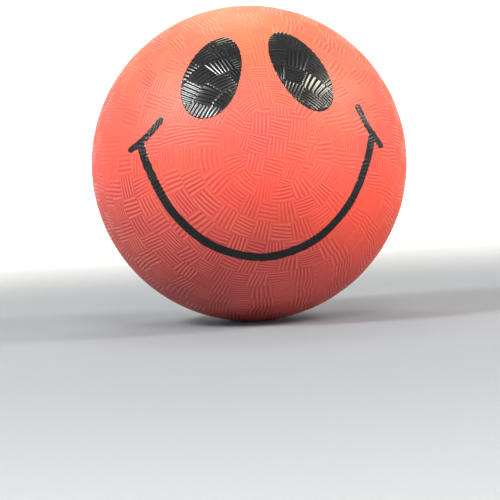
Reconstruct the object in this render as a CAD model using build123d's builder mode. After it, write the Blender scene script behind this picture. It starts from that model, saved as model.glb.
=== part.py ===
from build123d import *
from math import acos, degrees, sqrt
import os

# Playground rubber ball, two-ply: a thick cover moulded in two halves over a thin butyl bladder.
# Origin at the ball's centre, +Z up. The printed face looks along -Y, and the needle valve is
# at the back pole, on +Y. The cover halves meet on the XZ plane. All sizes are in millimetres.

# Ball and its plies
ball_diameter = 178.0
cover_wall = 1.6
bladder_wall = 0.8

# Valve: a rubber housing bonded through both plies, and a soft plug that seals the needle's way in
valve_length = 20.0
neck_wall = 1.5
flange_width = 7.0
flange_thickness = 1.4
lip_overhang = 1.0
lip_thickness = 1.5
patch_width = 14.0
patch_thickness = 1.2

# Plug, and how loosely it sits in the housing
plug_radius = 3.0
plug_clearance = 0.05
head_ledge = 1.4
head_thickness = 1.3
head_clearance = 0.1
head_sink = 0.5
seat_gap = 0.3
plug_tip_chamfer = 0.6
needle_radius = 1.1
needle_depth = 5.0
needle_lead_in = 0.5

# Face print: a film of ink, drawn in the front view with x to the viewer's right and z up.
# An eye is a long half-ellipse above its widest line and a short one below, and leans at the top.
ink_thickness = 0.2
left_eye = {"centre": (-23.7, 39.9), "lean": -25.8, "half_width": 14.0, "above": 27.3, "below": 19.5}
right_eye = {"centre": (24.8, 43.1), "lean": 28.9, "half_width": 12.8, "above": 26.4, "below": 22.5}
smile_stroke = 4.3
smile_bottom = (0, -50.8)
smile_quarter = (26.0, -43.7)
smile_turn = (45.2, -26.3)
smile_rise = (56.3, -4.8)
smile_end = (61.4, 12.4)
smile_end_slope = (4, 17)
cheek_stroke = 3.4
left_cheek = [(-67.3, 7.6), (-57.9, 14.2), (-48.8, 23.6)]
right_cheek = [(66.8, 3.2), (58.6, 14.4), (53.0, 26.4)]

# Worked out from the sizes above: the spheres that the plies meet on, and the valve's radii
ball_radius = ball_diameter / 2
bladder_sphere = ball_radius - cover_wall
patch_sphere = bladder_sphere - bladder_wall
flange_sphere = patch_sphere - patch_thickness
flange_inner_sphere = flange_sphere - flange_thickness
ink_sphere = ball_radius + ink_thickness
bore_radius = plug_radius + plug_clearance
head_radius = plug_radius + head_ledge
recess_radius = head_radius + head_clearance
neck_radius = recess_radius + neck_wall
flange_radius = neck_radius + flange_width
patch_radius = neck_radius + patch_width
lip_radius = bore_radius - lip_overhang

# Heights along the valve's axis
housing_end = ball_radius - valve_length
lip_top = housing_end + lip_thickness
plug_tip = lip_top + seat_gap
plug_top = sqrt(ball_radius**2 - recess_radius**2) - head_sink
head_base = plug_top - head_thickness
recess_floor = head_base - head_clearance
needle_floor = plug_top - needle_depth

# Angles up from the seam plane where a ply starts or ends
front_pole = -90
seam = 0


def angle_at(sphere_radius, distance):
    """Angle up from the seam plane where a sphere is that far from the valve's axis."""
    return degrees(acos(distance / sphere_radius))


def sphere_arc(sphere_radius, start, end):
    """Arc of a sphere's section between two angles."""
    return CenterArc((0, 0), sphere_radius, start, end - start)


def ply_section(outer_sphere, inner_sphere, start=None, rim=None, hole=None):
    """Half section of a ply, from an angle or a rim's radius up to the seam or a hole's radius."""
    with BuildLine() as section:
        faces = []
        for sphere in (outer_sphere, inner_sphere):
            first = angle_at(sphere, rim) if rim else start
            last = angle_at(sphere, hole) if hole else seam
            faces.append(sphere_arc(sphere, first, last))
        Line(faces[0] @ 0, faces[1] @ 0)
        Line(faces[0] @ 1, faces[1] @ 1)
    make_face(section.edges())


os.makedirs("parts", exist_ok=True)

# Cover, front half: plain to the pole, carries the face print
with BuildPart() as front_cover:
    with BuildSketch(Plane.XY):
        ply_section(ball_radius, bladder_sphere, start=front_pole)
    revolve(axis=Axis.Y)
front_cover.part.label = "front_cover"
export_step(front_cover.part, "parts/front_cover.step")

# Cover, rear half: open at the back pole for the valve's neck
with BuildPart() as rear_cover:
    with BuildSketch(Plane.XY):
        ply_section(ball_radius, bladder_sphere, start=seam, hole=neck_radius)
    revolve(axis=Axis.Y)
rear_cover.part.label = "rear_cover"
export_step(rear_cover.part, "parts/rear_cover.step")

# Bladder: one closed butyl ply, bonded to the cover, with the neck's hole
with BuildPart() as bladder:
    with BuildSketch(Plane.XY):
        ply_section(bladder_sphere, patch_sphere, start=front_pole, hole=neck_radius)
    revolve(axis=Axis.Y)
bladder.part.label = "bladder"
export_step(bladder.part, "parts/bladder.step")

# Valve patch: a disc inside the bladder that spreads the valve's pull
with BuildPart() as valve_patch:
    with BuildSketch(Plane.XY):
        ply_section(patch_sphere, flange_sphere, rim=patch_radius, hole=neck_radius)
    revolve(axis=Axis.Y)
valve_patch.part.label = "valve_patch"
export_step(valve_patch.part, "parts/valve_patch.step")

# Valve housing: flush neck, flange against the patch, and a boss with a stepped bore
with BuildPart() as valve_housing:
    with BuildSketch(Plane.XY):
        with BuildLine():
            neck_face = sphere_arc(
                ball_radius, angle_at(ball_radius, recess_radius), angle_at(ball_radius, neck_radius)
            )
            flange_back = sphere_arc(
                flange_sphere, angle_at(flange_sphere, neck_radius), angle_at(flange_sphere, flange_radius)
            )
            flange_front = sphere_arc(
                flange_inner_sphere,
                angle_at(flange_inner_sphere, flange_radius),
                angle_at(flange_inner_sphere, neck_radius),
            )
            Line(neck_face @ 1, flange_back @ 0)
            Line(flange_back @ 1, flange_front @ 0)
            Polyline(
                flange_front @ 1,
                (neck_radius, housing_end),
                (lip_radius, housing_end),
                (lip_radius, lip_top),
                (bore_radius, lip_top),
                (bore_radius, recess_floor),
                (recess_radius, recess_floor),
                neck_face @ 0,
            )
        make_face()
    revolve(axis=Axis.Y)
valve_housing.part.label = "valve_housing"
export_step(valve_housing.part, "parts/valve_housing.step")

# Valve plug: a headed soft rubber plug with a blind lead-in for the inflation needle
with BuildPart() as valve_plug:
    with BuildSketch(Plane.XY):
        with BuildLine():
            Polyline(
                (0, plug_tip),
                (plug_radius, plug_tip),
                (plug_radius, head_base),
                (head_radius, head_base),
                (head_radius, plug_top),
                (needle_radius, plug_top),
                (needle_radius, needle_floor),
                (0, needle_floor),
                close=True,
            )
        make_face()
    revolve(axis=Axis.Y)
    rims = valve_plug.edges().filter_by(GeomType.CIRCLE).group_by(Axis.Y)
    chamfer(rims[0], length=plug_tip_chamfer)
    chamfer(rims[-1].sort_by(SortBy.RADIUS)[0], length=needle_lead_in)
valve_plug.part.label = "valve_plug"
export_step(valve_plug.part, "parts/valve_plug.step")

# Ink layer: the thin shell over the front half that each print is cut from
with BuildPart() as ink_layer:
    with BuildSketch(Plane.XY):
        ply_section(ink_sphere, ball_radius, start=front_pole)
    revolve(axis=Axis.Y)

# Eyes: two leaning ovals
for name, eye in (("left_eye", left_eye), ("right_eye", right_eye)):
    with BuildPart() as eye_film:
        with BuildSketch(Plane.XZ):
            with BuildLine(Location((*eye["centre"], 0), (0, 0, eye["lean"]))):
                EllipticalCenterArc((0, 0), eye["half_width"], eye["above"], start_angle=0, arc_size=180)
                EllipticalCenterArc((0, 0), eye["half_width"], eye["below"], start_angle=180, arc_size=180)
            make_face()
        extrude(amount=ink_sphere)
        add(ink_layer.part, mode=Mode.INTERSECT)
    eye_film.part.label = name
    export_step(eye_film.part, f"parts/{name}.step")

# Smile: one film, the mouth's curved stroke with a short stroke across each end
with BuildPart() as smile:
    with BuildSketch(Plane.XZ):
        with BuildLine():
            Spline(
                smile_bottom,
                smile_quarter,
                smile_turn,
                smile_rise,
                smile_end,
                tangents=[(1, 0), smile_end_slope],
            )
            mirror(about=Plane.YZ)
        trace(line_width=smile_stroke)
        with BuildLine():
            ThreePointArc(*left_cheek)
            ThreePointArc(*right_cheek)
        trace(line_width=cheek_stroke)
    extrude(amount=ink_sphere)
    add(ink_layer.part, mode=Mode.INTERSECT)
smile.part.label = "smile"
export_step(smile.part, "parts/smile.step")
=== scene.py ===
import math

import bmesh
import bpy
import numpy as np
from mathutils import Matrix, Vector


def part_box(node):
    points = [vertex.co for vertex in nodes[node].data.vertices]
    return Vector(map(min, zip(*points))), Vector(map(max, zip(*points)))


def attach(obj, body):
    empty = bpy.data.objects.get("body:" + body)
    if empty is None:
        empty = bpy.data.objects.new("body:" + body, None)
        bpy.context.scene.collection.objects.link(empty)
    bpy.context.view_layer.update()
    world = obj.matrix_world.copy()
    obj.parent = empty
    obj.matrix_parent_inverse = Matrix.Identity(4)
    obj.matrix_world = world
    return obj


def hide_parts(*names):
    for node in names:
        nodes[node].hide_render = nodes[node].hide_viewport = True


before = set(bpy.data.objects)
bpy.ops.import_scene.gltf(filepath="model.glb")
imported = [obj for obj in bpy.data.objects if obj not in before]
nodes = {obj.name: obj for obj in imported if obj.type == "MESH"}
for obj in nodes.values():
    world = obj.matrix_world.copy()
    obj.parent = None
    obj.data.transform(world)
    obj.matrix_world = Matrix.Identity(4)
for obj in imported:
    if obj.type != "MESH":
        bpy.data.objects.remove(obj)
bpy.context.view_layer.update()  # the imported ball, in metres, its face towards -Y and its valve on +Y
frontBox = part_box("front_cover")
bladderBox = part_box("bladder")
ballRadius = (frontBox[1].z - frontBox[0].z) / 2
innerRadius = (bladderBox[1].z - bladderBox[0].z) / 2  # where the cover meets the bladder
fullTurn = 2 * math.pi
print("frame loaded, ball radius %.4f m" % ballRadius)


def smooth(value, low, high):  # 0 below low, 1 above high, an easy curve between
    share = np.clip((value - low) / (high - low), 0, 1)
    return share * share * (3 - 2 * share)


weave = {
    "rows": 14,  # rings of patches from the mould's centre to the parting line
    "plateRows": 2,  # rings at the front's centre that give way to a plate of straight weave
    "valveRows": 1,  # rings at the rear's centre that give way to the land round the valve
    "patchWidth": 1.12,  # against its height
    "fewest": 4,  # patches in the smallest ring
    "seamBand": 0.0006,  # plain band beside the parting line
    "relief": 0.00029,  # height of a rib over its groove
    "ribs": (5, 5, 6),  # a patch takes one of these counts
    "ribPower": 0.8,  # under 1 the crests are broad and the grooves narrow
    "border": 0.42,  # the line between two patches, against a rib's height
    "ribEnd": 0.055,  # share of a rib's length in which each end runs out
    "slant": 0.2,  # the most that ribs lean, as a share of the patch
    "slantPeak": 4,  # makes the lean full in the patch's middle and nothing at its sides
    "lowest": 0.75,  # the flattest patch against the tallest
    "sway": 0.011,  # how far rows wander off true, in radians
    "swayWaves": 4,
    "swayRate": (6, 12),
    "swayStarts": (0.09, 0.30),  # angles from the pole between which the sway comes in
    "swayEnds": (1.35, 1.53),
    "swayPole": 0.05,  # keeps the sway round a small ring from running away
    "offside": math.radians(5.2),  # how far the front's rings are centred off the pole, to its right
    "offUp": math.radians(3.0),
    "offHold": (0.3, 1.5),  # the rings come back true between these angles from the pole
    "settleRounds": 8,  # tries at finding a place that moves as the rings lean and sway
    "frontSeed": 11,
    "rearSeed": 23,
}
coverLook = {
    "acrossRib": (0.25, 0.5, 0.75, 1.0),  # where each rib is sampled
    "alongRib": (0.03, 0.065, 0.28, 0.50, 0.72, 0.935, 0.97),
    "slantRounds": 3,  # tries at putting the samples on the slanted ribs
    "borderGap": 0.0009,
    "cornerDigits": 9,  # corners of two rows that agree to so many decimals are one
    "plateGap": 0.00042,
    "plateFewest": 6,  # points in the plate's smallest circle
    "plateTurn": math.radians(12),
    "plateShift": 40.5,  # patches, so that the plate's middle is the middle of one
    "plateStep": (5, 3),  # how many ring patches apart its neighbours take their count and slant from
    "plateEdge": 0.006,  # radians in which the plate runs out into its border
    "innerGap": math.radians(4),
    "innerTurns": 96,
    "seam": ((0.85, 0.55), (0.30, 0.60), (0.14, 0.60), (0.07, 1.0)),  # share of the band left, and height
    "flash": 0.00008,  # how far the parting line's fin stands over the ribs
    "sharpFrom": math.radians(60),
}
valveLand = {
    "profile": (  # radius and height, in and down to the neck's hole
        (0.0097, 0.25), (0.0095, 0.85), (0.0091, 1.0), (0.0087, 0.85), (0.0085, 0.35),
        (0.0074, 0.35), (0.0066, 0.45), (0.0062, 0.35), (0.00606, 0.0),
    ),
}
nearly = 1e-7  # angles closer than this are the same


def directionOf(theta, phi, side):
    flat = np.sin(theta)
    return np.stack([flat * np.cos(phi), side * np.cos(theta), flat * np.sin(phi)], -1)


def anglesOf(direction, side):
    theta = np.arccos(np.clip(side * direction[..., 1], -1, 1))
    return theta, np.arctan2(direction[..., 2], direction[..., 0])


def planWeave(side, firstRow, offside, offUp, seed):  # everything that is random about one half's weave
    rng = np.random.default_rng(seed)
    rows, waves = weave["rows"], weave["swayWaves"]
    last = math.pi / 2 - weave["seamBand"] / ballRadius
    edges = np.linspace(0, last, rows + 1)
    middles = (edges[:-1] + edges[1:]) / 2
    pairs = np.round(math.pi * np.sin(middles) / edges[1] / weave["patchWidth"])
    counts = np.maximum(weave["fewest"], 2 * pairs).astype(int)  # even, so that no two alike are neighbours
    total = int(counts.sum())
    axes = rng.normal(size=(2, waves, 3))
    axes /= np.linalg.norm(axes, axis=2, keepdims=True)
    centre = np.array([math.sin(offside), side * math.cos(offside), math.tan(offUp)])
    hinge = np.cross([0, side, 0], centre / np.linalg.norm(centre))
    return {
        "side": side,
        "firstRow": firstRow,
        "edges": edges,
        "counts": counts,
        "starts": rng.uniform(0, fullTurn, rows),
        "firstPatch": np.concatenate([[0], np.cumsum(counts)[:-1]]),
        "total": total,
        "ribs": rng.choice(weave["ribs"], total),
        "slant": rng.uniform(-weave["slant"], weave["slant"], total),
        "lift": rng.uniform(weave["lowest"], 1, total),
        "axes": axes * rng.uniform(*weave["swayRate"], (2, waves, 1)),
        "phases": rng.uniform(0, fullTurn, (2, waves)),
        "hinge": hinge / max(np.linalg.norm(hinge), nearly),
        "lean": math.asin(min(1, np.linalg.norm(hinge))),
    }


def leanOver(direction, theta, way, plan):  # carries the rings between their own centre and the pole
    low, high = weave["offHold"]
    angle = (way * plan["lean"] * (1 - np.clip((theta - low) / (high - low), 0, 1)))[..., None]
    crossed = np.cross(plan["hinge"], direction)
    along = (direction @ plan["hinge"])[..., None] * plan["hinge"]
    return direction * np.cos(angle) + crossed * np.sin(angle) + along * (1 - np.cos(angle))


def swayAt(theta, phi, plan):  # how far the weave is pushed along and round
    points = directionOf(theta, phi, plan["side"])
    waves = [np.sin(points @ plan["axes"][i].T + plan["phases"][i]).sum(-1) for i in (0, 1)]
    hold = smooth(theta, *weave["swayStarts"]) * (1 - smooth(theta, *weave["swayEnds"])) * weave["sway"]
    return hold * waves[0], hold * waves[1] / np.maximum(np.sin(theta), weave["swayPole"])


def trueAngles(rowAngle, turnAngle, plan):  # from the weave's own angles to those on the ball
    theta, phi = rowAngle.copy(), turnAngle.copy()
    for _ in range(weave["settleRounds"]):
        along, across = swayAt(theta, phi, plan)
        theta, phi = rowAngle - along, turnAngle - across
    woven = directionOf(theta, phi, plan["side"])
    for _ in range(weave["settleRounds"]):
        direction = leanOver(woven, theta, 1, plan)
        theta, phi = anglesOf(direction, plan["side"])
    return theta, phi


def ribHeight(patch, radial, u, v, plan):  # height over the groove at a place in a patch
    across, along = np.where(radial, u, v), np.where(radial, v, u)
    place = across + plan["slant"][patch] * (along - 0.5) * weave["slantPeak"] * across * (1 - across)
    rib = np.clip(0.5 - 0.5 * np.cos(fullTurn * place * plan["ribs"][patch]), 0, 1)
    end = weave["ribEnd"]
    ends = smooth(along, 0, end) * smooth(1 - along, 0, end)
    height = plan["lift"][patch] * rib ** weave["ribPower"]
    return weave["relief"] * (weave["border"] + (height - weave["border"]) * ends)


def plateHeight(rowAngle, turnAngle, plan):  # straight weave at the front's centre
    cell, turn = plan["edges"][1], turnAngle + coverLook["plateTurn"]
    x = rowAngle * np.cos(turn) / cell + coverLook["plateShift"]
    z = rowAngle * np.sin(turn) / cell + coverLook["plateShift"]
    column, row = x.astype(int), z.astype(int)
    acrossStep, upStep = coverLook["plateStep"]
    patch = (acrossStep * column + upStep * row) % plan["total"]
    height = ribHeight(patch, (column + row) % 2 == 0, x - column, z - row, plan)
    border = weave["relief"] * weave["border"]
    inside = smooth(plan["edges"][plan["firstRow"]] - rowAngle, 0, coverLook["plateEdge"])
    return border + (height - border) * inside


def weaveHeight(theta, phi, plan):  # the weave's height, looked up at any place on the ball
    direction = directionOf(theta, phi, plan["side"])
    theta, phi = anglesOf(leanOver(direction, theta, -1, plan), plan["side"])
    along, across = swayAt(theta, phi, plan)
    rowAngle, turnAngle = theta + along, phi + across
    edges, counts = plan["edges"], plan["counts"]
    row = np.clip(np.searchsorted(edges, rowAngle) - 1, 0, weave["rows"] - 1)
    v = np.clip((rowAngle - edges[row]) / (edges[row + 1] - edges[row]), 0, 1)
    turn = ((turnAngle - plan["starts"][row]) / fullTurn * counts[row]) % counts[row]
    column = np.minimum(turn.astype(int), counts[row] - 1)
    patch = plan["firstPatch"][row] + column
    rings = ribHeight(patch, (row + column) % 2 == 0, turn - column, v, plan)
    return np.where(row < plan["firstRow"], plateHeight(rowAngle, turnAngle, plan), rings)


class Skin:  # collects a piece's points and faces, then makes its mesh
    def __init__(self):
        self.points, self.relief, self.faces, self.count = [], [], [], 0

    def add(self, points, relief=0.0):
        points = np.asarray(points, float).reshape(-1, 3)
        self.points.append(points)
        self.relief.append(np.broadcast_to(np.asarray(relief, float).reshape(-1), len(points)))
        self.count += len(points)
        return np.arange(self.count - len(points), self.count)

    def grid(self, ids, closed=False):  # quads between rows of points, round to the start if closed
        if closed:
            ids = np.concatenate([ids, ids[:, :1]], 1)
        quads = np.stack([ids[:-1, :-1], ids[:-1, 1:], ids[1:, 1:], ids[1:, :-1]], -1)
        self.faces += quads.reshape(-1, 4).tolist()

    def zipLoops(self, outer, outerAt, inner, innerAt, lap):  # triangles between two closed loops
        i, j, n, m = 0, 0, len(outer), len(inner)
        outerAt, innerAt = list(outerAt) + [lap], list(innerAt) + [lap]
        while i < n or j < m:
            if i < n and (j == m or outerAt[i + 1] <= innerAt[j + 1]):
                self.faces.append((int(outer[i]), int(outer[(i + 1) % n]), int(inner[j % m])))
                i += 1
            else:
                self.faces.append((int(outer[i % n]), int(inner[(j + 1) % m]), int(inner[j])))
                j += 1

    def fan(self, ring, centre):
        self.faces += [(int(a), int(b), int(centre)) for a, b in zip(ring, np.roll(ring, -1))]

    def make(self, name, body, slot, material, *replaced):
        mesh = bpy.data.meshes.new(name)
        mesh.from_pydata(np.concatenate(self.points), [], self.faces)
        shape = bmesh.new()
        shape.from_mesh(mesh)
        bmesh.ops.recalc_face_normals(shape, faces=shape.faces)
        shape.to_mesh(mesh)
        shape.free()
        relief = mesh.attributes.new("relief", "FLOAT", "POINT")  # for the finishes: 0 groove, 1 rib
        relief.data.foreach_set("value", np.concatenate(self.relief).astype(np.float32))
        mesh.shade_smooth()
        mesh.set_sharp_from_angle(angle=coverLook["sharpFrom"])
        piece = bpy.data.objects.new(name, mesh)
        bpy.context.scene.collection.objects.link(piece)
        mesh.materials.append(material)
        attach(piece, body)
        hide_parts(*replaced)
        print("%s: %d points, %d faces" % (name, len(mesh.vertices), len(mesh.polygons)))
        return piece


def aroundCircle(corners, gap):  # the corners' angles, with even steps of at most gap between them
    corners = np.unique(np.round(np.sort(corners % fullTurn), coverLook["cornerDigits"]))
    angles = []
    for first, second in zip(corners, np.append(corners[1:], corners[0] + fullTurn)):
        steps = max(1, math.ceil((second - first) / gap))
        angles += [first + (second - first) * i / steps for i in range(steps)]
    return np.array(angles)


def patchPlaces(patch, radial, plan):  # where a patch is sampled: u round the ball, v away from the pole
    ribs, alongRib = plan["ribs"][patch], np.array(coverLook["alongRib"])
    acrossRibs = np.concatenate([(i + np.array(coverLook["acrossRib"])) / ribs for i in range(ribs)])[:-1]
    if radial:
        across, along = np.meshgrid(acrossRibs, alongRib)
    else:
        along, across = np.meshgrid(alongRib, acrossRibs)
    bend = plan["slant"][patch] * (along - 0.5) * weave["slantPeak"]
    straight = across
    for _ in range(coverLook["slantRounds"]):
        straight = np.clip(across - bend * straight * (1 - straight), 0, 1)
    return (straight, along) if radial else (along, straight)


def wovenHalf(plan):
    skin, edges, counts, starts = Skin(), plan["edges"], plan["counts"], plan["starts"]
    rows, firstRow, side = weave["rows"], plan["firstRow"], plan["side"]
    grooveRadius, border = ballRadius - weave["relief"], weave["relief"] * weave["border"]

    def addWoven(rowAngle, turnAngle, height):
        rowAngle, turnAngle = np.broadcast_arrays(rowAngle, turnAngle)
        theta, phi = trueAngles(rowAngle.astype(float), turnAngle.astype(float), plan)
        height = np.broadcast_to(height, theta.shape)
        spots = directionOf(theta, phi, side) * (grooveRadius + height)[..., None]
        return skin.add(spots, (height / weave["relief"]).ravel()).reshape(theta.shape)

    def addPlain(angles, theta, radius, relief=0.0):
        return skin.add(directionOf(np.full(len(angles), theta), angles, side) * radius, relief)

    def trueTurns(k):  # where the points of a row's edge really lie round the circle
        return np.unwrap(trueAngles(np.full(len(circles[k][0]), edges[k]), circles[k][0], plan)[1])

    def chain(k, start, width):  # the points of one row edge that a patch spans
        angles, ids = circles[k]
        offset = (angles - start + nearly) % fullTurn - nearly
        chosen = np.where(offset <= width + nearly)[0]
        chosen = chosen[np.argsort(offset[chosen])]
        return ids[chosen], np.clip(offset[chosen] / width, 0, 1)

    seams = [starts[k] + np.arange(counts[k]) * fullTurn / counts[k] for k in range(rows)]
    circles = {}  # row edge: the angles and points along it
    for k in range(firstRow, rows + 1):
        corners = np.concatenate([seams[r] for r in (k - 1, k) if firstRow <= r < rows])
        angles = aroundCircle(corners, coverLook["borderGap"] / ballRadius / math.sin(edges[k]))
        circles[k] = angles, addWoven(edges[k], angles, border)

    for k in range(firstRow, rows):
        width, height = fullTurn / counts[k], edges[k + 1] - edges[k]
        sideSteps = max(2, math.ceil(height * ballRadius / coverLook["borderGap"]))
        sideAt = np.arange(1, sideSteps) / sideSteps
        sides = [addWoven(edges[k] + height * sideAt, seams[k][j], border) for j in range(counts[k])]
        for j in range(counts[k]):
            patch, radial = plan["firstPatch"][k] + j, (k + j) % 2 == 0
            u, v = patchPlaces(patch, radial, plan)
            ribs = ribHeight(patch, radial, u, v, plan)
            ids = addWoven(edges[k] + v * height, seams[k][j] + u * width, ribs)
            skin.grid(ids)
            bottom, bottomAt = chain(k, seams[k][j], width)
            top, topAt = chain(k + 1, seams[k][j], width)
            left, right = sides[j], sides[(j + 1) % counts[k]]
            evenAcross = (u[0] - u[0, 0]) / (u[0, -1] - u[0, 0])
            evenUp = (v[:, 0] - v[0, 0]) / (v[-1, 0] - v[0, 0])
            # one lap is bottom, right, top and left, each side worth 1
            outer = np.concatenate([bottom, right, top[::-1], left[::-1]])
            outerAt = np.concatenate([bottomAt, 1 + sideAt, 3 - topAt[::-1], 4 - sideAt[::-1]])
            inner = np.concatenate([ids[0, :-1], ids[:-1, -1], ids[-1, :0:-1], ids[:0:-1, 0]])
            innerAt = [evenAcross[:-1], 1 + evenUp[:-1], 3 - evenAcross[:0:-1], 4 - evenUp[:0:-1]]
            skin.zipLoops(outer, outerAt, inner, np.concatenate(innerAt), 4)

    angles, band = trueTurns(rows), [circles[rows][1]]  # parting line: a plain band that ends in a fine fin
    for back, height in coverLook["seam"]:
        theta = math.pi / 2 - back * weave["seamBand"] / ballRadius
        band.append(addPlain(angles, theta, grooveRadius + height * weave["relief"], height))
    band.append(addPlain(angles, math.pi / 2, ballRadius + coverLook["flash"], 1.0))
    band.append(addPlain(angles, math.pi / 2, innerRadius))
    skin.grid(np.array(band), closed=True)

    ring = circles[firstRow][1]
    if side > 0:  # rear half: the land round the valve, and the hole for its neck
        holeAngles = trueTurns(firstRow)
        for radius, height in valveLand["profile"]:
            theta = math.asin(radius / grooveRadius)
            row = addPlain(holeAngles, theta, grooveRadius + height * weave["relief"], height)
            skin.grid(np.array([ring, row]), closed=True)
            ring = row
        lowest = math.asin(valveLand["profile"][-1][0] / innerRadius)
        inside = addPlain(holeAngles, lowest, innerRadius)
        skin.grid(np.array([ring, inside]), closed=True)
    else:  # front half: the plate of straight weave
        around, lowest, gap = circles[firstRow][0], 0.0, coverLook["plateGap"]
        for rowAngle in np.arange(edges[firstRow], 0, -gap / ballRadius)[1:]:
            count = round(fullTurn * math.sin(rowAngle) * ballRadius / gap)
            count = max(coverLook["plateFewest"], count)
            inner = around[0] + np.arange(count) * fullTurn / count
            row = addWoven(rowAngle, inner, plateHeight(rowAngle, inner, plan))
            skin.zipLoops(ring, around - around[0], row, inner - inner[0], fullTurn)
            ring, around = row, inner
        centre = np.zeros(1)
        skin.fan(ring, addWoven(centre, centre, plateHeight(centre, centre, plan))[0])

    gap, turnCount = coverLook["innerGap"], coverLook["innerTurns"]
    turns = np.arange(turnCount) * fullTurn / turnCount
    stops = np.arange(math.pi / 2 - gap, lowest + gap / 2, -gap)
    lining = [addPlain(turns + angles[0], theta, innerRadius) for theta in stops]
    skin.zipLoops(band[-1], angles - angles[0], lining[0], turns, fullTurn)
    skin.grid(np.array(lining), closed=True)
    if side > 0:
        skin.zipLoops(lining[-1], turns, inside, holeAngles - holeAngles[0], fullTurn)
    else:
        skin.fan(lining[-1], addPlain(np.zeros(1), 0.0, innerRadius)[0])
    return skin


class Wire:  # a shader value that sums can be written with
    def __init__(self, finish, socket):
        self.finish, self.socket = finish, socket

    def sum(self, operation, first, second):
        return self.finish.add("ShaderNodeMath", {"operation": operation}, {0: first, 1: second})

    def __add__(self, other):
        return self.sum("ADD", self, other)

    def __sub__(self, other):
        return self.sum("SUBTRACT", self, other)

    def __rsub__(self, other):
        return self.sum("SUBTRACT", other, self)

    def __mul__(self, other):
        return self.sum("MULTIPLY", self, other)

    __radd__, __rmul__ = __add__, __mul__


class Finish:  # one material and its nodes
    def __init__(self, name, fixed):
        self.material = bpy.data.materials.new(name)
        self.material.use_nodes = True
        self.tree = self.material.node_tree
        self.tree.nodes.clear()
        output = self.tree.nodes.new("ShaderNodeOutputMaterial")
        self.shader = self.tree.nodes.new("ShaderNodeBsdfPrincipled")
        self.tree.links.new(self.shader.outputs[0], output.inputs[0])
        for socket, value in fixed.items():
            self.shader.inputs[socket].default_value = value

    def add(self, kind, settings, inputs, output=0):
        node = self.tree.nodes.new(kind)
        for key, value in settings.items():
            setattr(node, key, value)
        for key, value in inputs.items():
            self.feed(node.inputs[key], value)
        return Wire(self, node.outputs[output])

    def feed(self, socket, value):
        if isinstance(value, Wire):
            self.tree.links.new(value.socket, socket)
        else:
            socket.default_value = value

    def mix(self, share, first, second):
        settings = {"data_type": "RGBA", "blend_type": "MIX", "clamp_result": False}
        return self.add("ShaderNodeMix", settings, {0: share, 6: first, 7: second}, 2)

    def place(self):
        return self.add("ShaderNodeTexCoord", {}, {}, "Object")

    def relief(self):
        return self.add("ShaderNodeAttribute", {"attribute_name": "relief"}, {}, "Fac")

    def noise(self, scale, detail, roughness):
        inputs = {"Vector": self.place(), "Scale": scale, "Detail": detail, "Roughness": roughness}
        return self.add("ShaderNodeTexNoise", {"noise_dimensions": "3D"}, inputs, "Fac")

    def band(self, value, low, high):  # 0 below low, 1 above high
        inputs = {"Value": value, "From Min": low, "From Max": high}
        return self.add("ShaderNodeMapRange", {"interpolation_type": "SMOOTHSTEP", "clamp": True}, inputs)

    def bump(self, height, distance, strength):
        inputs = {"Strength": strength, "Distance": distance, "Height": height}
        self.paint({"Normal": self.add("ShaderNodeBump", {}, inputs)})

    def paint(self, sockets):
        for socket, value in sockets.items():
            self.feed(self.shader.inputs[socket], value)
        return self.material


def colour(red, green, blue):  # a screen colour, as 0 to 255, in the shader's own terms
    def plain(share):  # undoes the screen's own curve
        return share / 12.92 if share <= 0.04045 else ((share + 0.055) / 1.055) ** 2.4
    return tuple(plain(c / 255) for c in (red, green, blue)) + (1.0,)


rubberIndex = 1.5  # index of refraction, for every rubber and ink here

coverRubber = {
    "broad": (16, 3, 0.5),  # noises, as scale, detail and roughness
    "wide": (38, 2, 0.5),
    "fine": (260, 4, 0.6),
    "speck": (2600, 3, 0.6),
    "uneven": 0.05,  # how far the edges of the painted crown light and the painted under shade wander, in metres
    "rib": colour(207, 64, 45),
    "warm": colour(213, 78, 42),
    "warmBand": (0.38, 0.62),
    "warmShare": 0.6,
    "pink": colour(200, 60, 48),
    "pinkBand": (0.45, 0.7),
    "pinkShare": 0.7,
    "paintedCrownLight": colour(219, 98, 60),  # painted light: the crown lighter and more orange, where the light from above falls
    "crownLightBand": (0.025, 0.085),  # metres up from the ball's centre
    "crownLightShare": 0.7,
    "paintedUnderShade": colour(160, 63, 68),  # painted shade with a painted cool sheen, on the lower front-left side
    "underShadeSide": (-0.34, -0.1, -0.93),
    "underShadeBand": (0.012, 0.070),  # metres out from the centre, to that side
    "underShadeShare": 0.85,
    # painted shade: the grooves darker than the rib tops
    "groove": colour(158, 40, 36),
    "grooveBand": (0.05, 0.65),  # of a rib's height
    "shadeBlotchBand": (0.7, 1.3),
    "grooveShadeShares": (0.8, 0.4, 0.2),  # the grooves' painted shade: in blotches, with the painted under shade and all over
    "bloomAndSheen": colour(207, 101, 80),  # partly the pale film that rubber sweats out, partly a painted sheen on the rib tops
    "bloomSheenRelief": (0.45, 0.8),
    "bloomSheenBand": (0.8, 1.3),
    "bloomSheenShares": (0.45, 0.45),  # in blotches, and with the painted under shade
    "roughness": 0.48,
    "roughFine": 0.12,
    "rubbedBand": (0.5, 1.0),  # the tops of the ribs are rubbed smoother
    "rubbed": 0.12,
    "grain": 0.00004,
    "grainFine": 0.8,
    "grainStrength": 0.8,
}


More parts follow.
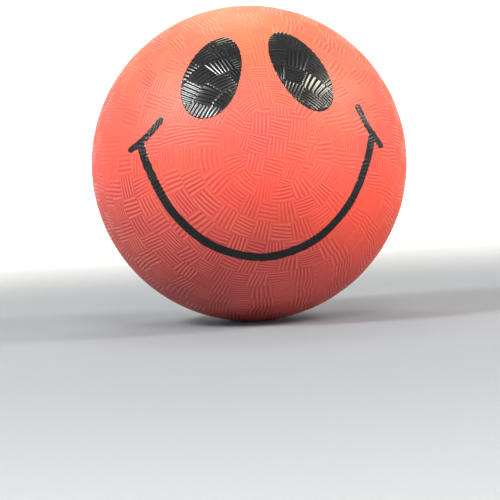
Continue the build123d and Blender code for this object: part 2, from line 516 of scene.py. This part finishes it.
def makeCoverRubber():
    look, finish = coverRubber, Finish("coverRubber", {"IOR": rubberIndex})
    relief, place = finish.relief(), finish.place()
    broad, wide, fine, speck = (finish.noise(*look[name]) for name in ("broad", "wide", "fine", "speck"))
    uneven = (broad - 0.5) * look["uneven"]
    height = finish.add("ShaderNodeSeparateXYZ", {}, {0: place}, "Z") + uneven
    # painted light: the crown lighter and more orange, where the light from above falls
    paintedCrownLight = finish.band(height, *look["crownLightBand"])
    # painted shade with a painted cool sheen, on the lower front-left side
    towards = {0: place, 1: look["underShadeSide"]}
    depth = finish.add("ShaderNodeVectorMath", {"operation": "DOT_PRODUCT"}, towards, "Value") + uneven
    paintedUnderShade = finish.band(depth, *look["underShadeBand"])
    base = finish.mix(finish.band(broad, *look["warmBand"]) * look["warmShare"], look["rib"], look["warm"])
    base = finish.mix(finish.band(wide, *look["pinkBand"]) * look["pinkShare"], base, look["pink"])
    base = finish.mix(paintedCrownLight * look["crownLightShare"], base, look["paintedCrownLight"])
    base = finish.mix(paintedUnderShade * look["underShadeShare"], base, look["paintedUnderShade"])
    # painted shade in the grooves: in blotches, deeper on the lower side, and a little all over
    blotches, withUnderShade, allOver = look["grooveShadeShares"]
    grooveShadeMask = finish.band(broad + wide, *look["shadeBlotchBand"]) * blotches + paintedUnderShade * withUnderShade + allOver
    base = finish.mix((1 - finish.band(relief, *look["grooveBand"])) * grooveShadeMask, base, look["groove"])
    # pale rubber bloom and a painted sheen on the rib tops, in blotches and strongest on the lower side
    blotches, withUnderShade = look["bloomSheenShares"]
    film = finish.band(fine + wide, *look["bloomSheenBand"]) * blotches + paintedUnderShade * withUnderShade
    base = finish.mix(finish.band(relief, *look["bloomSheenRelief"]) * film, base, look["bloomAndSheen"])
    rubbed = finish.band(relief, *look["rubbedBand"]) * look["rubbed"]
    roughness = look["roughness"] + fine * look["roughFine"] - rubbed
    finish.bump(speck + fine * look["grainFine"], look["grain"], look["grainStrength"])
    return finish.paint({"Base Color": base, "Roughness": roughness})


faceInk = {
    "black": colour(9, 8, 9),
    "worn": colour(30, 27, 27),
    "gloss": 0.4,
    "fine": (300, 4, 0.6),
    "speck": (3000, 2, 0.5),
    "wearBand": (0.5, 0.8),
    "wearRelief": (0.5, 1.0),  # ink wears on the tops of the ribs
    "wearShare": 0.5,
    "roughness": (0.15, 0.12, 0.1),  # least, with the noise and where worn
    "grain": 0.00002,
    "grainStrength": 0.6,
}


def makeFaceInk():
    look = faceInk
    finish = Finish("faceInk", {"IOR": rubberIndex, "Specular IOR Level": look["gloss"]})
    fine, speck = finish.noise(*look["fine"]), finish.noise(*look["speck"])
    wear = finish.band(fine, *look["wearBand"]) * finish.band(finish.relief(), *look["wearRelief"])
    base = finish.mix(wear * look["wearShare"], look["black"], look["worn"])
    finish.bump(speck, look["grain"], look["grainStrength"])
    least, withNoise, whereWorn = look["roughness"]
    return finish.paint({"Base Color": base, "Roughness": least + fine * withNoise + wear * whereWorn})


butylRubber = {
    "black": colour(22, 22, 23),
    "dust": colour(120, 118, 114),
    "dustNoise": (90, 5, 0.65),
    "dustBand": (0.4, 0.75),
    "dustShare": 0.35,
    "roughness": (0.6, 0.2),  # clean and with dust
    "grainNoise": (900, 4, 0.5),
    "grain": 0.00005,
    "grainStrength": 0.5,
}


def makeButylRubber():
    look, finish = butylRubber, Finish("butylRubber", {"IOR": rubberIndex})
    dust = finish.band(finish.noise(*look["dustNoise"]), *look["dustBand"])
    base = finish.mix(dust * look["dustShare"], look["black"], look["dust"])
    finish.bump(finish.noise(*look["grainNoise"]), look["grain"], look["grainStrength"])
    clean, withDust = look["roughness"]
    return finish.paint({"Base Color": base, "Roughness": clean + dust * withDust})


valveRubber = {
    "dark": colour(140, 26, 24),
    "pale": colour(178, 44, 38),
    "paleBand": (0.35, 0.7),
    "fine": (700, 4, 0.6),
    "speck": (2600, 2, 0.5),
    "speckShare": 0.5,
    "roughness": (0.38, 0.15),  # least, and with the noise
    "grain": 0.00005,
    "grainStrength": 0.6,
}
plugRubber = {
    "dark": colour(24, 24, 25),
    "pale": colour(58, 57, 58),
    "paleBand": (0.4, 0.75),
    "fine": (800, 4, 0.6),
    "speck": (3200, 2, 0.5),
    "speckShare": 0.5,
    "roughness": (0.42, 0.15),
    "grain": 0.00004,
    "grainStrength": 0.6,
}


def makeMouldedRubber(name, look):  # the valve's two small mouldings, each of its own rubber
    finish = Finish(name, {"IOR": rubberIndex})
    fine, speck = finish.noise(*look["fine"]), finish.noise(*look["speck"])
    base = finish.mix(finish.band(fine, *look["paleBand"]), look["dark"], look["pale"])
    finish.bump(fine + speck * look["speckShare"], look["grain"], look["grainStrength"])
    least, withNoise = look["roughness"]
    return finish.paint({"Base Color": base, "Roughness": least + fine * withNoise})


coverMaterial, inkMaterial, butylMaterial = makeCoverRubber(), makeFaceInk(), makeButylRubber()
valveMaterial = makeMouldedRubber("valveRubber", valveRubber)
plugMaterial = makeMouldedRubber("plugRubber", plugRubber)
print("finishes made")

frontPlan = planWeave(-1, weave["plateRows"], weave["offside"], weave["offUp"], weave["frontSeed"])
rearPlan = planWeave(1, weave["valveRows"], 0, 0, weave["rearSeed"])
wovenHalf(frontPlan).make("coverFront", "ball", "cover_rubber", coverMaterial, "front_cover")
wovenHalf(rearPlan).make("coverRear", "ball", "cover_rubber", coverMaterial, "rear_cover")

ink = {
    "thickness": 0.00010,
    "fill": 0.12,  # share of a groove's depth that the ink fills
    "follow": 0.96,  # how closely the ink follows what is left of the ribs
    "gap": 0.00036,  # spacing of the film's points
    "rounding": 0.00035,  # width of the film's thin edge
    "edgeAt": (0.4, 0.0),  # places in that edge, as shares of its width still to go
    "edgeFilm": (0.7, 0.1),  # and how much of the thickness is left there
    "under": 0.00012,  # how far its back is let into the cover
    "bleed": 0.00018,  # how far ribs carry the edge out past the grooves
    "bleedFrom": 0.6,  # the relief at which the edge is where it was drawn
    "backRings": (1.0, 0.66, 0.33),
}


def inkRadius(x, z, film):  # the ink's surface over a place in the front view
    y = -np.sqrt(ballRadius ** 2 - x ** 2 - z ** 2)
    theta = np.arccos(-y / ballRadius)
    relief = weaveHeight(theta, np.arctan2(z, x), frontPlan)
    filled = np.maximum(relief, ink["fill"] * weave["relief"])
    return ballRadius - weave["relief"] + filled * ink["follow"] + film, relief / weave["relief"]


def onBall(x, z, radius):
    y = -np.sqrt(ballRadius ** 2 - x ** 2 - z ** 2)
    return np.stack([x, y, z], -1) / ballRadius * np.asarray(radius)[..., None]


def inkGrid(skin, x, z, film):
    radius, relief = inkRadius(x, z, film)
    return skin.add(onBall(x, z, radius), relief.ravel()).reshape(x.shape)


def inkBack(skin, x, z):
    return skin.add(onBall(x, z, ballRadius - weave["relief"] - ink["under"]))


eyes = {  # each an oval: where its middle is, how far it leans, and how far it reaches from there
    "leftEye": {
        "node": "left_eye",
        "x": -0.0237,
        "z": 0.0399,
        "lean": -25.8,  # degrees
        "half": 0.0140,  # half its width
        "above": 0.0273,
        "below": 0.0195,
    },
    "rightEye": {
        "node": "right_eye",
        "x": 0.0248,
        "z": 0.0431,
        "lean": 28.9,
        "half": 0.0128,
        "above": 0.0264,
        "below": 0.0225,
    },
}


def eyeFilm(eye):
    skin = Skin()
    around = round(math.pi * (eye["half"] + eye["above"]) / ink["gap"])
    turns = np.linspace(0, fullTurn, around, endpoint=False)
    reach = np.where(np.sin(turns) > 0, eye["above"], eye["below"])
    across, along = eye["half"] * np.cos(turns), reach * np.sin(turns)
    lean = math.radians(eye["lean"])
    rimX = across * math.cos(lean) - along * math.sin(lean)
    rimZ = across * math.sin(lean) + along * math.cos(lean)
    _, relief = inkRadius(eye["x"] + rimX, eye["z"] + rimZ, 0)
    bleed = 1 + ink["bleed"] * (relief - ink["bleedFrom"]) / np.hypot(rimX, rimZ)
    rings = round(eye["above"] / ink["gap"])
    edge = ink["rounding"] / eye["half"]
    shares = np.append(np.linspace(1 / rings, 1 - edge, rings), 1 - edge * np.array(ink["edgeAt"]))
    films = ink["thickness"] * np.append(np.ones(rings), ink["edgeFilm"])
    x = eye["x"] + rimX * bleed * shares[:, None]
    z = eye["z"] + rimZ * bleed * shares[:, None]
    ids = inkGrid(skin, x, z, films[:, None])
    skin.grid(ids, closed=True)
    centre = np.array([eye["x"]]), np.array([eye["z"]])
    skin.fan(ids[0], inkGrid(skin, *centre, ink["thickness"])[0])
    back = [ids[-1]]
    for share in ink["backRings"]:
        back.append(inkBack(skin, eye["x"] + rimX * bleed * share, eye["z"] + rimZ * bleed * share))
    skin.grid(np.array(back), closed=True)
    skin.fan(back[-1], inkBack(skin, *centre)[0])
    return skin


smile = {
    "stroke": 0.0043,
    "cheekStroke": 0.0034,
    "half": ((0, -0.0508), (0.0260, -0.0437), (0.0452, -0.0263), (0.0563, -0.0048), (0.0614, 0.0124)),
    "leftCheek": ((-0.0673, 0.0076), (-0.0579, 0.0142), (-0.0488, 0.0236)),
    "rightCheek": ((0.0668, 0.0032), (0.0586, 0.0144), (0.0530, 0.0264)),
    "over": 0.00003,  # each cheek stroke lies this much over the mouth's end
    "mouthTaper": 0.05,  # widths of the stroke in which each end rounds off
    "cheekTaper": 0.5,
    "tip": 0.02,  # least width left at an end, squared
    "rimFrom": 0.9,  # share of the half width beyond which the edge bleeds
    "steps": 60,  # between two of the points
}


def strokeLine(points):  # an even smooth line through the points
    points = np.array(points)
    ends = 2 * points[0] - points[1], 2 * points[-1] - points[-2]
    held = np.concatenate([[ends[0]], points, [ends[1]]])
    share = np.linspace(0, 1, smile["steps"], endpoint=False)[:, None]
    line = []
    for p, q, r, s in zip(held, held[1:], held[2:], held[3:]):
        curve = 2 * p - 5 * q + 4 * r - s + share * (3 * (q - r) + s - p)
        line.append(q + 0.5 * share * (r - p + share * curve))
    line = np.concatenate(line + [points[-1:]])
    run = np.concatenate([[0], np.cumsum(np.hypot(*np.diff(line, axis=0).T))])
    even = np.linspace(0, run[-1], round(run[-1] / ink["gap"]))
    return np.stack([np.interp(even, run, line[:, i]) for i in (0, 1)], -1), even


def addStroke(skin, points, width, lift, taper):
    line, run = strokeLine(points)
    slope = np.gradient(line, axis=0)
    slope /= np.hypot(*slope.T)[:, None]
    sideways = np.stack([-slope[:, 1], slope[:, 0]], -1)
    left = np.minimum(run, run[-1] - run)
    rounded = 1 - (1 - np.clip(left / (width * taper), 0, 1)) ** 2
    half = width / 2 * np.sqrt(np.clip(rounded, smile["tip"], 1))
    columns = round(width / ink["gap"])
    edge = 2 * ink["rounding"] / width
    rim, rimFilm = 1 - edge * np.array(ink["edgeAt"]), ink["edgeFilm"]
    shares = np.concatenate([-rim[::-1], np.linspace(-1 + edge, 1 - edge, columns), rim])
    films = np.concatenate([rimFilm[::-1], np.ones(columns), rimFilm]) * ink["thickness"] + lift
    _, relief = inkRadius(line[:, 0], line[:, 1], 0)
    outwards = np.sign(shares) * (np.abs(shares) > smile["rimFrom"])
    offset = half[:, None] * shares + outwards * ink["bleed"] * (relief[:, None] - ink["bleedFrom"])
    x, z = (line[:, i][:, None] + sideways[:, i][:, None] * offset for i in (0, 1))
    ids = inkGrid(skin, x, z, films)
    skin.grid(ids)
    back = [inkBack(skin, x[:, i], z[:, i]) for i in (0, -1)]
    skin.grid(np.array([ids[:, 0], back[0], back[1], ids[:, -1]]))
    for end in (0, -1):  # close the two ends
        skin.faces.append(tuple(int(i) for i in [*ids[end], back[1][end], back[0][end]]))


for name, eye in eyes.items():
    eyeFilm(eye).make(name, "ball", "face_ink", inkMaterial, eye["node"])
smileSkin = Skin()
mouth = [(-x, z) for x, z in smile["half"][:0:-1]] + list(smile["half"])
addStroke(smileSkin, mouth, smile["stroke"], 0.0, smile["mouthTaper"])
addStroke(smileSkin, smile["leftCheek"], smile["cheekStroke"], smile["over"], smile["cheekTaper"])
addStroke(smileSkin, smile["rightCheek"], smile["cheekStroke"], smile["over"], smile["cheekTaper"])
smileSkin.make("smilePrint", "ball", "face_ink", inkMaterial, "smile")


def dress(node, material):  # a piece kept from the CAD model gets its finish
    piece = nodes[node]
    piece.data.materials.clear()
    piece.data.materials.append(material)


dress("bladder", butylMaterial)
dress("valve_patch", butylMaterial)
dress("valve_housing", valveMaterial)
dress("valve_plug", plugMaterial)
print("pieces made")

studio = {
    "floor": colour(126, 129, 136),  # near the ball, and paler out towards the wall
    "wall": colour(238, 238, 238),
    "pale": (0.25, 1.6),  # metres out, from where the floor's colour changes to where it is the wall's
    "roughness": 0.9,
    "gloss": 0.1,
    "flat": (0.02, 0.3, 1.0),  # radii of rings on the level floor
    "flatRadius": 2.2,
    "bend": 1.1,  # radius of the curve from floor to wall
    "bendSteps": 20,
    "height": 4.5,
    "sides": 96,
    "air": (0.9, 0.93, 1.0, 1.0),  # the light that comes from all round
    "airStrength": 0.26,
}


def makeSweep():  # a round floor that curves up into one wall
    flat, bend, sides = studio["flatRadius"], studio["bend"], studio["sides"]
    profile = [(radius, 0.0) for radius in studio["flat"]]
    for turn in np.linspace(0, math.pi / 2, studio["bendSteps"]):
        profile.append((flat + bend * math.sin(turn), bend * (1 - math.cos(turn))))
    profile.append((flat + bend, studio["height"]))
    around = np.linspace(0, fullTurn, sides, endpoint=False)
    points = [(r * math.cos(t), r * math.sin(t), z - ballRadius) for r, z in profile for t in around]
    faces = [tuple(range(sides))]
    for first in range(0, sides * (len(profile) - 1), sides):
        for i in range(sides):
            j = (i + 1) % sides
            faces.append((first + i, first + sides + i, first + sides + j, first + j))
    mesh = bpy.data.meshes.new("sweep")
    mesh.from_pydata(points, [], faces)
    mesh.shade_smooth()
    sweep = bpy.data.objects.new("sweep", mesh)
    bpy.context.scene.collection.objects.link(sweep)
    finish = Finish("paper", {"Roughness": studio["roughness"], "Specular IOR Level": studio["gloss"]})
    away = finish.add("ShaderNodeVectorMath", {"operation": "LENGTH"}, {0: finish.place()}, "Value")
    base = finish.mix(finish.band(away, *studio["pale"]), studio["floor"], studio["wall"])
    sweep.data.materials.append(finish.paint({"Base Color": base}))


makeSweep()

lamps = {  # name: direction from the ball, distance, width and height, watts, tint
    "frontLeft": ((-0.65, -0.40, 0.63), 1.3, (0.30, 0.30), 20, (0.97, 1, 0.94)),
    "frontRight": ((0.74, -0.28, 0.60), 1.3, (0.30, 0.30), 11, (1, 0.95, 0.78)),
    "frontHigh": ((0.05, -0.75, 0.66), 1.8, (0.5, 0.5), 15.5, (1, 0.98, 0.92)),
    "left": ((-0.89, -0.19, 0.40), 1.4, (0.12, 0.22), 3, (1, 1, 1)),
    "right": ((0.90, -0.12, 0.42), 1.4, (0.2, 0.4), 4.5, (1, 0.92, 0.88)),
    "low": ((0.66, -0.75, -0.02), 0.9, (0.5, 0.1), 2.7, (1, 0.80, 0.74)),
    "above": ((-0.03, 0.46, 0.89), 1.2, (0.5, 0.3), 4.7, (1, 0.97, 0.72)),
    "ceiling": ((0.0, -0.05, 1.0), 1.7, (3.0, 3.0), 7.5, (1, 1, 0.97)),
    "fill": ((-0.12, -0.98, 0.13), 2.2, (1.6, 0.6), 3, (0.75, 0.85, 1)),
    "backdrop": ((0, 0.75, 0.66), 2.1, (3.0, 0.6), 60, (1, 1, 1)),
    "backdropFront": ((0, -0.75, 0.66), 2.1, (3.0, 0.6), 24, (1, 1, 1)),
}
turnedAway = {  # these two light the wall, and face away from here
    "backdrop": (0, -0.94, 0.34),
    "backdropFront": (0, 0.94, 0.34),
}
for name, (towards, distance, size, watts, tint) in lamps.items():
    light = bpy.data.lights.new(name, "AREA")
    light.shape = "RECTANGLE"
    light.size, light.size_y = size
    light.energy, light.color = watts, tint
    holder = bpy.data.objects.new(name, light)
    towards = Vector(towards).normalized()
    holder.location = towards * distance
    holder.rotation_euler = Vector(turnedAway.get(name, towards)).to_track_quat("Z", "Y").to_euler()
    holder.visible_camera = False  # seen only in what it lights and in the gloss
    bpy.context.scene.collection.objects.link(holder)

world = bpy.data.worlds.new("studioAir")
bpy.context.scene.world = world
world.use_nodes = True
world.node_tree.nodes["Background"].inputs["Color"].default_value = studio["air"]
world.node_tree.nodes["Background"].inputs["Strength"].default_value = studio["airStrength"]
bpy.context.scene.view_settings.view_transform = "Standard"

view = {
    "azimuth": -4.20,  # degrees round from straight in front
    "elevation": -1.95,
    "roll": -2.95,
    "distance": 0.80,
    "lens": 101.25,
    "sensor": 36,
    "clip": (0.01, 50),
    "aside": -0.03,  # degrees, how far the camera looks past the ball's centre
    "down": 3.487,
}


def makeCamera():
    camera = bpy.data.cameras.new("camera")
    camera.lens, camera.sensor_width = view["lens"], view["sensor"]
    camera.clip_start, camera.clip_end = view["clip"]
    holder = bpy.data.objects.new("camera", camera)
    bpy.context.scene.collection.objects.link(holder)
    bpy.context.scene.camera = holder
    turn, rise = math.radians(view["azimuth"]), math.radians(view["elevation"])
    back = Vector((math.sin(turn) * math.cos(rise), -math.cos(turn) * math.cos(rise), math.sin(rise)))
    aim = back.to_track_quat("Z", "Y").to_matrix()
    for axis, angle in (("Z", view["roll"]), ("X", -view["down"]), ("Y", view["aside"])):
        aim = aim @ Matrix.Rotation(math.radians(angle), 3, axis)
    holder.matrix_world = Matrix.Translation(back * view["distance"]) @ aim.to_4x4()


makeCamera()
print("studio set")
